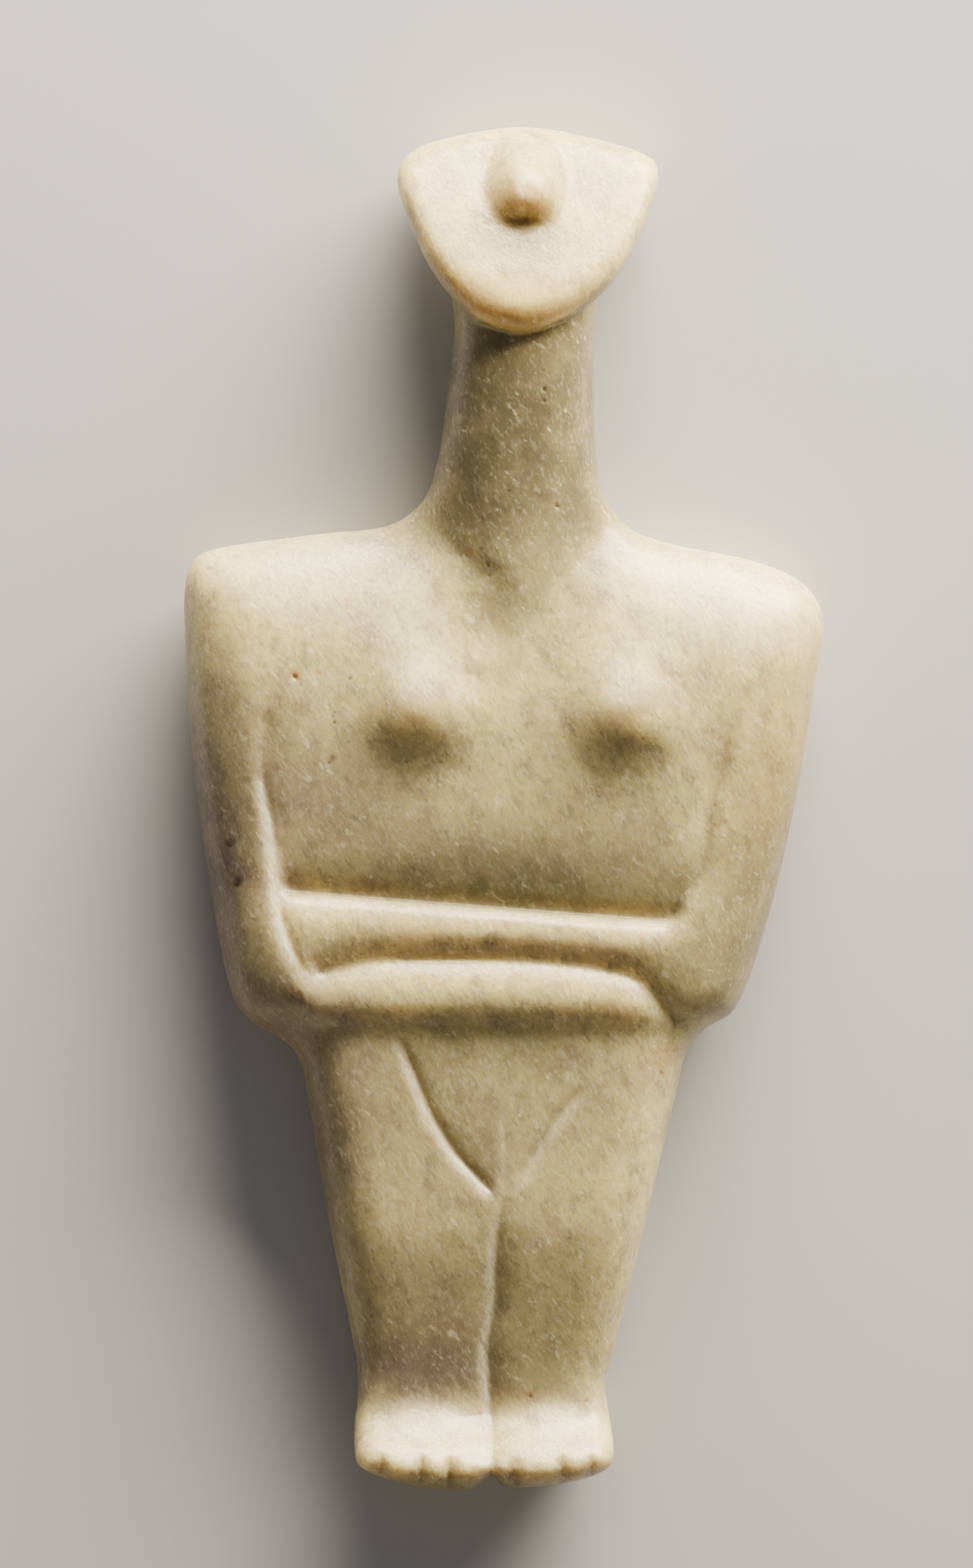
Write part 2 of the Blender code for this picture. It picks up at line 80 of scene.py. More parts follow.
class Tint(Enum):
    """Tints laid over the stone: some are what age, wear and dirt have done to it, and some are painted
    light and shade. Each value names the layer that holds its share.

    Honey is the warm yellow of old marble, and also a painted glow where the figure turns from the
    light and painted shade under the nose. Olive is a grey green and umber a violet brown: both are
    mostly painted shade and shadow, with some soil tone of the stone's own. Rust is small red-brown
    spots. Worn is crystal that was bruised or rubbed pale, and also painted highlight where the
    figure faces the light. Stain is dark dirt in pits, and painted shade in the bottoms of the lines.
    """

    HONEY_AND_PAINTED_LIGHT = "honey_and_painted_light"
    OLIVE_SHADE_AND_SOIL = "olive_shade_and_soil"
    UMBER_SHADE_AND_SOIL = "umber_shade_and_soil"
    RUST = "rust"
    WEAR_AND_HIGHLIGHT = "wear_and_painted_light"
    STAIN_AND_SHADE = "stain_and_shade"


def linear(hex_colour: str) -> tuple[float, float, float, float]:
    """Turns a written colour into the light values that the shader works in.

    Args:
        hex_colour: six hex digits, red, green and blue, as seen on a screen.

    Returns:
        Red, green, blue and 1, in linear light.
    """
    parts = [int(hex_colour[i : i + 2], 16) / 255 for i in (0, 2, 4)]
    return (*[p / 12.92 if p <= 0.04045 else ((p + 0.055) / 1.055) ** 2.4 for p in parts], 1.0)


def add_node(
    tree: bpy.types.NodeTree,
    kind: str,
    settings: dict[str | int, object] | None = None,
    links: dict[str | int, Socket] | None = None,
) -> bpy.types.Node:
    """Adds one node to a material, sets it and links it.

    Args:
        tree: the material's node tree.
        kind: the node's type name.
        settings: values by property name, or by input name or number.
        links: the output socket that feeds each input, by name or number.

    Returns:
        The new node.
    """
    node = tree.nodes.new(kind)
    for key, value in (settings or {}).items():
        if isinstance(key, str) and key not in node.inputs:
            setattr(node, key, value)
        else:
            node.inputs[key].default_value = value
    for key, source in (links or {}).items():
        tree.links.new(source, node.inputs[key])
    return node


def smooth_fall(away: np.ndarray, reach: float) -> np.ndarray:
    """Falls from 1 to 0 over a distance, level at both ends.

    Args:
        away: distances, any unit.
        reach: the distance at which nothing is left, in the same unit.

    Returns:
        One share from 0 to 1 for each distance.
    """
    t = np.clip(1 - away / reach, 0, 1)
    return t * t * (3 - 2 * t)


def stroke(skin: bmesh.types.BMesh, verts: Sequence[bmesh.types.BMVert]) -> None:
    """Rubs part of a mesh once, which takes the edge off its smallest steps.

    Args:
        skin: the mesh.
        verts: its points that are rubbed.
    """
    bmesh.ops.smooth_vert(
        skin, verts=verts, factor=0.5, use_axis_x=True, use_axis_y=True, use_axis_z=True
    )


@dataclass(frozen=True)
class Cut:
    """A line cut into the stone with a point or an abrasive edge. All sizes are in millimetres.

    Its two walls may differ in width: first the one on the left of someone who follows the line.
    The line fades in and out over the lengths in fades. One wall is painted pale, as crystals that
    the cutting bruised white and as painted highlight where that wall faces the light: how much, how
    far to the line's left, and the half width of the pale. Painted shade lies in the bottom, by its
    share from 0 to 1.
    """

    # How fast the walls rise from the bottom, and how round the bottom is: 2 would be a bell's shape
    wall_rise: ClassVar[float] = 2.2
    wall_curve: ClassVar[float] = 1.6

    # Where the raised lip stands, in widths of the wall, and how narrow it is
    lip_place: ClassVar[float] = 1.5
    lip_narrow: ClassVar[float] = 6.0

    # How fast the painted shade in the bottom thins out up the walls
    dirt_and_shade_fall: ClassVar[float] = 1.4

    # The hand wavers in a slow swing and a quick one: how long each is, and its share
    swings: ClassVar[tuple[Point, ...]] = ((1.9, 1.0), (0.7, 0.6))

    points: tuple[Point, ...]
    depth: float
    walls: tuple[float, float]
    lip: float = 0.0
    fades: tuple[float, float] = (2.0, 2.0)
    waver: float = 0.0
    bruise_and_highlight: tuple[float, float, float] = (0.0, 0.0, 1.0)
    dirt_and_shade: float = 0.0
    side: Side = Side.FRONT

    def nearest(self, plan: np.ndarray) -> tuple[np.ndarray, np.ndarray, float]:
        """Finds how far points are from the line and where along it.

        Args:
            plan: points seen from above, in millimetres, one row each.

        Returns:
            The distance to the line, above zero on its left, the way along it, and its length.
        """
        path = np.array(self.points, float)
        best = np.full(len(plan), np.inf)
        signed, along = np.zeros(len(plan)), np.zeros(len(plan))
        start = 0.0
        for a, b in zip(path[:-1], path[1:]):
            step = b - a
            size = float(np.hypot(*step))
            t = np.clip((plan - a) @ step / size**2, 0, 1)
            offset = plan - (a + t[:, None] * step)
            away = np.hypot(offset[:, 0], offset[:, 1])
            closer = away < best
            best[closer] = away[closer]
            turn = step[0] * offset[:, 1] - step[1] * offset[:, 0]
            signed[closer] = (np.sign(turn) * away)[closer]
            along[closer] = (start + t * size)[closer]
            start += size
        return signed, along, start

    def reach(self, plan: np.ndarray) -> np.ndarray:
        """Gives the distance from each point to the line, in millimetres."""
        return np.abs(self.nearest(plan)[0])

    def across(self, plan: np.ndarray) -> tuple[np.ndarray, np.ndarray, np.ndarray]:
        """Follows the line as the hand cut it, with its waver and its faded ends.

        Args:
            plan: points seen from above, in millimetres, one row each.

        Returns:
            The distance across the line, the same in widths of the wall there, and how much of the
            line is left, from 0 to 1.
        """
        signed, along, length = self.nearest(plan)
        swung = sum(share * np.sin(along / size + turn) for turn, (size, share) in enumerate(self.swings))
        signed = signed + self.waver * swung
        away = np.abs(signed) / np.where(signed > 0, *self.walls)
        ends = np.clip(along / self.fades[0], 0, 1) * np.clip((length - along) / self.fades[1], 0, 1)
        return signed, away, np.sqrt(ends)

    def relief(self, plan: np.ndarray) -> np.ndarray:
        """Works out how far the line lowers the surface.

        Args:
            plan: points seen from above, in millimetres, one row each.

        Returns:
            The change of height in millimetres, below zero in the line and above on its lips.
        """
        _, away, ends = self.across(plan)
        valley = np.exp(-self.wall_rise * away**self.wall_curve)
        lips = np.exp(-self.lip_narrow * (away - self.lip_place) ** 2)
        return (self.lip * lips - self.depth * valley) * ends

    def marks(self, plan: np.ndarray) -> dict[Tint, np.ndarray]:
        """Works out how pale one wall is, as bruising and painted highlight, and how dark the bottom is,
        as painted shade.

        Args:
            plan: points seen from above, in millimetres, one row each.

        Returns:
            The share of each tint at each point, from 0 to 1.
        """
        amount, place, half_width = self.bruise_and_highlight
        signed, away, ends = self.across(plan)
        # Painted highlight with bruising along one wall, and painted shade in the bottom
        pale = amount * np.exp(-(((signed - place) / half_width) ** 2))
        dark = self.dirt_and_shade * np.exp(-self.dirt_and_shade_fall * away**2)
        return {Tint.WEAR_AND_HIGHLIGHT: pale * ends, Tint.STAIN_AND_SHADE: dark * ends}


@dataclass(frozen=True)
class Pit:
    """A small hole, chip or grain that fell out. All sizes are in millimetres.

    It may be stretched by a factor, along a line turned by some degrees from the line across the
    figure. Dirt holds in it, by its share from 0 to 1.
    """

    # How fast the wall rises from the bottom, and how flat the bottom is
    wall_rise: ClassVar[float] = 1.5
    wall_curve: ClassVar[float] = 2.5

    # How fast the dirt thins out up the wall
    dirt_and_shade_fall: ClassVar[float] = 2.0

    place: Point
    radius: float
    depth: float
    stretch: float = 1.0
    turn: float = 0.0
    dirt_and_shade: float = 0.55
    side: Side = Side.FRONT

    def away(self, plan: np.ndarray) -> np.ndarray:
        """Gives each point's distance from the middle as a share of the pit's radius."""
        dx, dy = (plan - np.array(self.place)).T
        c, s = math.cos(math.radians(self.turn)), math.sin(math.radians(self.turn))
        return np.hypot((dx * c + dy * s) / self.stretch, -dx * s + dy * c) / self.radius

    def reach(self, plan: np.ndarray) -> np.ndarray:
        """Gives the distance from each point to the pit's middle, in millimetres as if it were round."""
        return self.away(plan) * self.radius

    def relief(self, plan: np.ndarray) -> np.ndarray:
        """Gives the change of height in millimetres at each point."""
        return -self.depth * np.exp(-self.wall_rise * self.away(plan) ** self.wall_curve)

    def marks(self, plan: np.ndarray) -> dict[Tint, np.ndarray]:
        """Gives the share of dirt at each point, from 0 to 1."""
        return {Tint.STAIN_AND_SHADE: self.dirt_and_shade * np.exp(-self.dirt_and_shade_fall * self.away(plan) ** 2)}


@dataclass(frozen=True)
class Rub:
    """A spot that was rubbed until no small steps were left. All sizes are in millimetres."""

    place: Point
    reach: float
    strokes: int = 10

    def wear(self, skin: bmesh.types.BMesh) -> None:
        """Smooths the mesh round the spot."""
        x, y = self.place
        near = [v for v in skin.verts if math.hypot(v.co.x / MM - x, v.co.y / MM - y) < self.reach]
        for _ in range(self.strokes):
            stroke(skin, near)


@dataclass(frozen=True)
class Bloom:
    """A patch of another tint. Some patches are the stone's own age, and many are painted shade, glow
    and highlight. All sizes are in millimetres.

    It reaches so far across the figure and so far along it. It may be kept below a height, so that
    it stays on the neck and off the face above it.
    """

    # The height over which a bloom that is kept below a height fades out
    fade: ClassVar[float] = 0.5

    tint: Tint
    place: Point
    reach: tuple[float, float]
    amount: float
    below: float = math.inf

    def share(self, places: np.ndarray) -> np.ndarray:
        """Gives how much of the tint lies at each point, from 0 to 1."""
        dx, dy = (places[:, :2] - np.array(self.place)).T
        kept = np.clip((self.below - places[:, 2]) / self.fade, 0, 1)
        return self.amount * kept * smooth_fall(np.hypot(dx / self.reach[0], dy / self.reach[1]), 1.0)


@dataclass(frozen=True)
class Veil:
    """A tint that lies over the stone in soft patches, or in streaks where it is stretched.

    Its size is that of its patches in millimetres. It starts at the lower value of its spread and
    has its full amount at the upper one, so a lower spread covers more of the stone. Its slant is
    the way the streaks run, and its shift in metres keeps two veils from falling together.
    """

    colour: str
    size: float
    amount: float
    spread: tuple[float, float] = (0.48, 0.68)
    stretch: float = 1.0
    slant: float = ABRADING_SLANT
    shift: float = 0.0

    def over(self, tree: bpy.types.NodeTree, place: Socket, ground: Socket) -> Socket:
        """Lays the tint over a colour.

        Args:
            tree: the material's node tree.
            place: where on the figure the colour is looked up.
            ground: the colour underneath.

        Returns:
            The socket with the tinted colour.
        """
        turned = add_node(
            tree,
            "ShaderNodeMapping",
            {
                "vector_type": "TEXTURE",
                "Location": (self.shift, self.shift, 0.0),
                "Rotation": (0.0, 0.0, math.radians(self.slant)),
                "Scale": (self.stretch, 1.0, 1.0),
            },
            {"Vector": place},
        )
        patches = add_node(
            tree,
            "ShaderNodeTexNoise",
            {"Scale": 1 / (self.size * MM), "Detail": 3.0, "Roughness": 0.55},
            {"Vector": turned.outputs["Vector"]},
        )
        low, high = self.spread
        strength = add_node(
            tree,
            "ShaderNodeMapRange",
            {"interpolation_type": "SMOOTHSTEP", "From Min": low, "From Max": high, "To Max": self.amount},
            {"Value": patches.outputs["Fac"]},
        )
        tinted = add_node(
            tree,
            "ShaderNodeMix",
            {"data_type": "RGBA", 7: linear(self.colour)},
            {0: strength.outputs["Result"], 6: ground},
        )
        return tinted.outputs[2]


@dataclass(frozen=True)
class IslandMarble:
    """Coarse white island marble, abraded smooth with emery and aged to cream.

    Light goes millimetres deep into it, so edges and undersides glow warm and cut lines stay soft.
    Its crystals are most of a millimetre wide, so the surface has a fine sugary grain, and the
    abrading left short slanting streaks, pale where crystals were bruised. Real emery streaks are a
    tenth of a millimetre wide. They are drawn several times coarser, so that they show.

    The clouds lie under the tints, as colour in the stone, and the flecks over them, as crystals
    that catch the light through the patina. The tints are age and soil and also painted shade and
    glow, and lie evenly. Pale wear with its painted highlight, and dirt with the painted shade in the
    lines, are broken up by the streaks.
    Crystal and streak widths, their heights and the depth of light are in millimetres.
    """

    cream: str = "DFD092"
    clouds: tuple[Veil, ...] = (
        Veil("B0A674", size=20.0, amount=0.45, spread=(0.42, 0.66)),
        Veil("AA8E7A", size=9.0, amount=0.42, spread=(0.46, 0.68), shift=0.031),
        Veil("8A7E60", size=3.2, amount=0.38, spread=(0.50, 0.66), stretch=1.8, shift=0.057),
        Veil("6E5C44", size=0.80, amount=0.32, spread=(0.52, 0.68), stretch=2.0, shift=0.011),
        Veil("F6EED0", size=0.70, amount=0.38, spread=(0.53, 0.66), stretch=2.2, shift=0.083),
    )
    # Honey is also painted glow and shade; olive and umber are mostly painted shade and shadow
    tints_and_painted_light: tuple[tuple[Tint, str], ...] = (
        (Tint.HONEY_AND_PAINTED_LIGHT, "BC9E50"),
        (Tint.OLIVE_SHADE_AND_SOIL, "6A6248"),
        (Tint.UMBER_SHADE_AND_SOIL, "685458"),
    )
    flecks: tuple[Veil, ...] = (
        Veil("BAA67C", size=5.5, amount=0.24, spread=(0.48, 0.66), shift=0.143),
        Veil("5A503C", size=4.5, amount=0.22, spread=(0.50, 0.68), stretch=1.5, shift=0.171),
        Veil("F0E6C8", size=0.80, amount=0.16, spread=(0.52, 0.66), stretch=2.0, shift=0.197),
        Veil("FBF3D2", size=1.50, amount=0.32, spread=(0.63, 0.71), stretch=2.0, slant=-48.0, shift=0.121),
    )
    # Rust, pale wear with painted highlight, and pit dirt with painted shade in the lines
    wear: tuple[tuple[Tint, str], ...] = (
        (Tint.RUST, "B4703C"),
        (Tint.WEAR_AND_HIGHLIGHT, "F8F0D0"),
        (Tint.STAIN_AND_SHADE, "4A3A2A"),
    )
    roughness: float = 0.30
    crystal: float = 0.8
    crystal_height: float = 0.05
    crystal_tones: tuple[float, float] = (0.93, 1.05)
    streak: float = 0.7
    streak_stretch: float = 2.6
    streak_height: float = 0.13
    streak_from: tuple[float, float] = (0.40, 0.60)
    streak_cover: tuple[float, float] = (0.35, 1.25)
    bump_strength: float = 0.5
    depth_of_light: float = 8.0
    depth_by_colour: Point3 = (1.0, 0.88, 0.70)

    def material(self) -> bpy.types.Material:
        """Builds the stone's material.

        Returns:
            The finished material.
        """
        stone = bpy.data.materials.new("island_marble_abraded")
        stone.use_nodes = True
        tree = stone.node_tree
        tree.nodes.clear()
        place = add_node(tree, "ShaderNodeTexCoord").outputs["Object"]
        crystals = add_node(
            tree,
            "ShaderNodeTexVoronoi",
            {"Scale": 1 / (self.crystal * MM), "Randomness": 1.0},
            {"Vector": place},
        )
        streaks = self.streaks(tree, place)
        grained = self.grained(tree, self.ground(tree, place), crystals.outputs["Color"])
        shader = add_node(
            tree,
            "ShaderNodeBsdfPrincipled",
            {
                "Roughness": self.roughness,
                "IOR": 1.5,
                "Specular IOR Level": 0.5,
                "Subsurface Weight": 1.0,
                "Subsurface Radius": self.depth_by_colour,
                "Subsurface Scale": self.depth_of_light * MM,
            },
            {
                "Base Color": self.wear_and_painted_light(tree, grained, streaks),
                "Normal": self.bump(tree, crystals.outputs["Distance"], streaks),
            },
        )
        add_node(tree, "ShaderNodeOutputMaterial", None, {"Surface": shader.outputs["BSDF"]})
        return stone

    def ground(self, tree: bpy.types.NodeTree, place: Socket) -> Socket:
        """Colours the stone: cream with its clouds, the tints over them, which are age and also painted
        shade and glow, then the flecks.

        Args:
            tree: the material's node tree.
            place: where on the figure the colour is looked up.

        Returns:
            The socket with the colour.
        """
        cream = add_node(tree, "ShaderNodeRGB")
        cream.outputs[0].default_value = linear(self.cream)
        colour = cream.outputs[0]
        for veil in self.clouds:
            colour = veil.over(tree, place, colour)
        for tint, shade in self.tints_and_painted_light:
            share = add_node(tree, "ShaderNodeAttribute", {"attribute_name": tint.value})
            colour = self.laid(tree, share.outputs["Fac"], shade, colour)
        for veil in self.flecks:
            colour = veil.over(tree, place, colour)
        return colour

    def grained(self, tree: bpy.types.NodeTree, colour: Socket, crystals: Socket) -> Socket:
        """Makes each crystal a little darker or paler than its neighbours.

        Args:
            tree: the material's node tree.
            colour: the stone's colour.
            crystals: a value of its own for each crystal.

        Returns:
            The socket with the grained colour.
        """
        dark, pale = self.crystal_tones
        tone = add_node(
            tree,
            "ShaderNodeMapRange",
            {"From Min": 0.0, "From Max": 1.0, "To Min": dark, "To Max": pale},
            {"Value": crystals},
        )
        grained = add_node(
            tree,
            "ShaderNodeMix",
            {"data_type": "RGBA", "blend_type": "MULTIPLY", 0: 1.0},
            {6: colour, 7: tone.outputs["Result"]},
        )
        return grained.outputs[2]

    def streaks(self, tree: bpy.types.NodeTree, place: Socket) -> Socket:
        """Draws the short slanting streaks that the abrading left.

        Args:
            tree: the material's node tree.
            place: where on the figure the streaks are looked up.

        Returns:
            The socket with their height, from 0 to 1.
        """
        slanted = add_node(
            tree,
            "ShaderNodeMapping",
            {
                "vector_type": "TEXTURE",
                "Rotation": (0.0, 0.0, math.radians(ABRADING_SLANT)),
                "Scale": (self.streak_stretch, 1.0, 1.0),
            },
            {"Vector": place},
        )
        streaks = add_node(
            tree,
            "ShaderNodeTexNoise",
            {"Scale": 1 / (self.streak * MM), "Detail": 3.0, "Roughness": 0.62},
            {"Vector": slanted.outputs["Vector"]},
        )
        return streaks.outputs["Fac"]

    def wear_and_painted_light(self, tree: bpy.types.NodeTree, colour: Socket, streaks: Socket) -> Socket:
        """Lays rust, pale wear with painted highlight, and dirt with painted shade over the colour, broken
        up by the streaks.

        Args:
            tree: the material's node tree.
            colour: the stone's colour.
            streaks: the height of the streaks.

        Returns:
            The socket with the worn colour.
        """
        low, high = self.streak_from
        least, most = self.streak_cover
        cover = add_node(
            tree,
            "ShaderNodeMapRange",
            {"From Min": low, "From Max": high, "To Min": least, "To Max": most},
            {"Value": streaks},
        )
        for tint, shade in self.wear:
            share = add_node(tree, "ShaderNodeAttribute", {"attribute_name": tint.value})
            broken = add_node(
                tree,
                "ShaderNodeMath",
                {"operation": "MULTIPLY", "use_clamp": True},
                {0: share.outputs["Fac"], 1: cover.outputs["Result"]},
            )
            colour = self.laid(tree, broken.outputs["Value"], shade, colour)
        return colour

    def laid(self, tree: bpy.types.NodeTree, share: Socket, shade: str, colour: Socket) -> Socket:
        """Lays one tint over a colour.

        Args:
            tree: the material's node tree.
            share: how much of the tint there is, from 0 to 1.
            shade: the tint's colour, six hex digits.
            colour: the colour underneath.

        Returns:
            The socket with the tinted colour.
        """
        tinted = add_node(
            tree,
            "ShaderNodeMix",
            {"data_type": "RGBA", 7: linear(shade)},
            {0: share, 6: colour},
        )
        return tinted.outputs[2]

    def bump(self, tree: bpy.types.NodeTree, crystals: Socket, streaks: Socket) -> Socket:
        """Gives the surface the sugary grain of its crystals and, over it, the streaks.

        Args:
            tree: the material's node tree.
            crystals: the distance from the middle of each crystal.
            streaks: the height of the streaks.

        Returns:
            The socket with the way the surface faces.
        """
        grain = add_node(
            tree,
            "ShaderNodeBump",
            {"Strength": self.bump_strength, "Distance": self.crystal_height * MM},
            {"Height": crystals},
        )
        rubbed = add_node(
            tree,
            "ShaderNodeBump",
            {"Strength": self.bump_strength, "Distance": self.streak_height * MM},
            {"Height": streaks, "Normal": grain.outputs["Normal"]},
        )
        return rubbed.outputs["Normal"]


@dataclass(frozen=True)
class PalePaper:
    """Plain pale paper, matt, so the figure's soft shadow reads on it and nothing else does."""

    colour: str = "C2C4C7"
    roughness: float = 0.85

    def material(self) -> bpy.types.Material:
        """Builds the floor's material.

        Returns:
            The finished material.
        """
        paper = bpy.data.materials.new("pale_matt_paper")
        paper.use_nodes = True
        shader = paper.node_tree.nodes["Principled BSDF"]
        shader.inputs["Base Color"].default_value = linear(self.colour)
        shader.inputs["Roughness"].default_value = self.roughness
        return paper


@dataclass
class MarbleFigurine:
    """The carved figure, one piece of stone, with the fine relief that the solid leaves out.

    All sizes are in millimetres. Lines, pits, rubs and blooms are placed across from the figure's
    middle, towards its own left, and up from the middle of its length.

    The mesh has coarse edges, longer ones on the back, and fine edges near a line or a pit: all
    fine within the first share of the fine reach, then coarser over the second share.
    """

    finish: IslandMarble = field(default_factory=IslandMarble)
    coarse_edge: float = 1.15
    back_coarser: float = 1.4
    fine_edge: float = 0.32
    fine_reach: float = 1.3
    fine_shares: tuple[float, float] = (0.5, 3.0)
    too_long: float = 1.35
    divisions: int = 5
    rounding: float = 0.6
    back_below: float = 8.0
    hand_wear: float = 0.10
    wave_sizes: tuple[float, float] = (13.0, 4.5)
    small_wave: float = 0.35
    # Painted honey glow on faces that look to the foot end, away from the light
    foot_end_painted_glow: float = 0.4
    foot_end_curve: float = 1.8
    most_foot_end_painted_glow: float = 0.3
    # Where a line has them, its pale wall is bruised crystal and painted highlight, and the dark in its
    # bottom is painted shade
    cuts: tuple[Cut, ...] = (
        # Between the belly and the right thigh, cut deep, its pale wall bruised white and painted as lit,
        # with painted shade in its bottom
        Cut(
            ((-19.9, -43.6), (-16.6, -51.4), (-13.4, -58.9), (-9.0, -65.8), (-4.7, -70.6), (-1.4, -74.2)),
            depth=0.24,
            walls=(1.3, 1.5),
            lip=0.03,
            fades=(4.0, 1.5),
            waver=0.03,
            bruise_and_highlight=(0.50, -1.1, 1.0),
            dirt_and_shade=0.26,
        ),
        # Between the belly and the left thigh, nearly worn away
        Cut(
            ((15.0, -53.0), (10.2, -58.9), (5.8, -65.8), (3.3, -70.1), (0.8, -73.6)),
            depth=0.05,
            walls=(1.2, 1.4),
            lip=0.03,
            fades=(5.0, 3.0),
            waver=0.08,
            bruise_and_highlight=(0.28, 0.9, 1.1),
            dirt_and_shade=0.08,
        ),
        # On the middle of the belly, above the cleft of the legs
        Cut(
            ((0.1, -57.5), (0.3, -66.0), (0.1, -73.3)),
            depth=0.07,
            walls=(0.6, 0.6),
            fades=(4.0, 2.0),
            waver=0.12,
            bruise_and_highlight=(0.20, -0.5, 0.8),
        ),
        # The crease above the upper forearm
        Cut(
            ((33.5, -21.2), (27.5, -21.0), (4.3, -19.2), (-18.9, -17.4), (-41.5, -15.6)),
            depth=0.55,
            walls=(0.8, 3.6),
            fades=(5.0, 5.0),
        ),
        # The cleft between the legs
        Cut(
            ((0.1, -73.6), (-1.0, -81.3), (-1.5, -89.3), (-1.4, -93.7), (-3.0, -103.2), (-2.6, -111.0),
             (-2.2, -119.0), (-2.4, -126.0)),
            depth=0.14,
            walls=(1.0, 1.4),
            lip=0.05,
            fades=(6.0, 7.0),
            waver=0.04,
            bruise_and_highlight=(0.45, -0.8, 1.1),
            dirt_and_shade=0.10,
        ),
        # Between the chest and the right upper arm
        Cut(
            ((-45.6, 5.5), (-44.1, -2.6), (-43.0, -12.0), (-42.6, -17.7), (-41.0, -24.0), (-38.9, -29.8)),
            depth=0.12,
            walls=(0.8, 1.0),
            lip=0.04,
            fades=(8.0, 4.0),
            waver=0.08,
            bruise_and_highlight=(0.55, -1.0, 1.5),
        ),
        # Two scratches on the right shoulder
        Cut(((-54.7, 40.4), (-48.3, 29.4)), depth=0.08, walls=(0.3, 0.3), fades=(3.0, 3.0)),
        Cut(((-48.6, 39.5), (-44.4, 36.4)), depth=0.10, walls=(0.35, 0.35), lip=0.05, fades=(1.0, 1.0)),
    )
    toe_clefts: tuple[float, ...] = (-23.3, -15.8, -10.4, 1.9, 11.0, 16.6)
    toe_front: float = -130.0
    toe_root: float = -123.4
    toe_lean: float = 0.2
    pits: tuple[Pit, ...] = (
        # Right shoulder, chest and breast
        Pit((-39.6, 24.7), 0.45, 0.45, 1.6, 120, 0.8),
        Pit((-38.6, 23.2), 0.30, 0.20, 1.4, 140, 0.3),
        Pit((-32.4, 17.3), 0.32, 0.30, 1.2, 90, 0.5),
        Pit((-33.2, 8.4), 0.40, 0.30, 1.3, 70, 0.5),
        Pit((-44.7, 25.0), 0.25, 0.20, 1.3, 100, 0.3),
        Pit((-18.5, 8.6), 0.28, 0.26, 1.3, 60, 0.5),
        Pit((-29.2, 24.4), 0.30, 0.30),
        Pit((-32.1, 18.0), 0.28, 0.30),
        Pit((-32.2, 16.1), 0.30, 0.28),
        Pit((-32.6, 9.2), 0.70, 0.12, 1.2, 0, 0.35),
        Pit((-12.0, 8.5), 0.25, 0.20),
        # Left breast
        Pit((18.0, 2.0), 0.25, 0.22),
        Pit((26.5, 13.0), 0.28, 0.25, 1.5, 110),
        # Neck and face
        Pit((7.7, 79.3), 0.35, 0.40, 1.5, 80, 0.75),
        Pit((7.7, 77.2), 0.28, 0.30, 1.4, 80, 0.7),
        Pit((7.4, 83.0), 0.25, 0.20),
        Pit((1.0, 60.0), 0.25, 0.30),
        Pit((10.2, 57.2), 0.38, 0.45, 1.4, 120, 0.85),
        Pit((-3.0, 46.0), 0.30, 0.30, 1.5, 120),
        Pit((-2.8, 43.9), 0.26, 0.26, 1.3, 100),
        Pit((-4.3, 49.0), 0.25, 0.20, 1.6, 20, 0.2),
        Pit((4.1, 111.6), 0.60, 0.25, 1.0, 0, 0.5),
        # Arms
        Pit((-7.1, -26.8), 0.28, 0.30, 1.2, 0, 0.7),
        Pit((-2.2, -25.9), 0.26, 0.28, 1.5, 90, 0.7),
        Pit((-52.0, -7.2), 0.80, 0.22, 1.3, 70, 0.6),
        Pit((-50.5, -14.7), 0.70, 0.28, 1.5, 80, 0.75),
        # Hip, legs and feet
        Pit((30.1, -50.6), 0.45, 0.25, 1.5, 150, 0.6),
        Pit((12.5, -82.0), 0.25, 0.20),
        Pit((5.0, -112.2), 0.35, 0.35, 1.3, 120, 0.5),
        Pit((15.8, -113.1), 0.32, 0.30, 1.2, 30, 0.5),
        Pit((-4.5, -115.5), 0.30, 0.25, 1.2, 0, 0.35),
        # Back
        Pit((-22.0, 28.0), 0.35, 0.30, 1.4, 110, side=Side.BACK),
        Pit((27.0, 12.0), 0.30, 0.30, side=Side.BACK),
        Pit((9.0, -52.0), 0.40, 0.30, 1.5, 70, side=Side.BACK),
        Pit((-14.0, -86.0), 0.30, 0.30, side=Side.BACK),
        Pit((6.0, 66.0), 0.30, 0.30, 1.3, 100, side=Side.BACK),
    )
    rubs: tuple[Rub, ...] = (
        # Breasts
        Rub((-18.0, 16.5), 9.0, 22),
        Rub((21.5, 16.0), 9.0, 22),
        # Right elbow, pit of the throat, right end of the forearm crease, ankles
        Rub((-36.6, -32.8), 2.2),
        Rub((-4.6, 45.1), 3.0),
        Rub((-41.5, -14.6), 2.0),
        Rub((-28.4, -112.8), 2.4),
        Rub((19.4, -110.0), 2.4),
    )
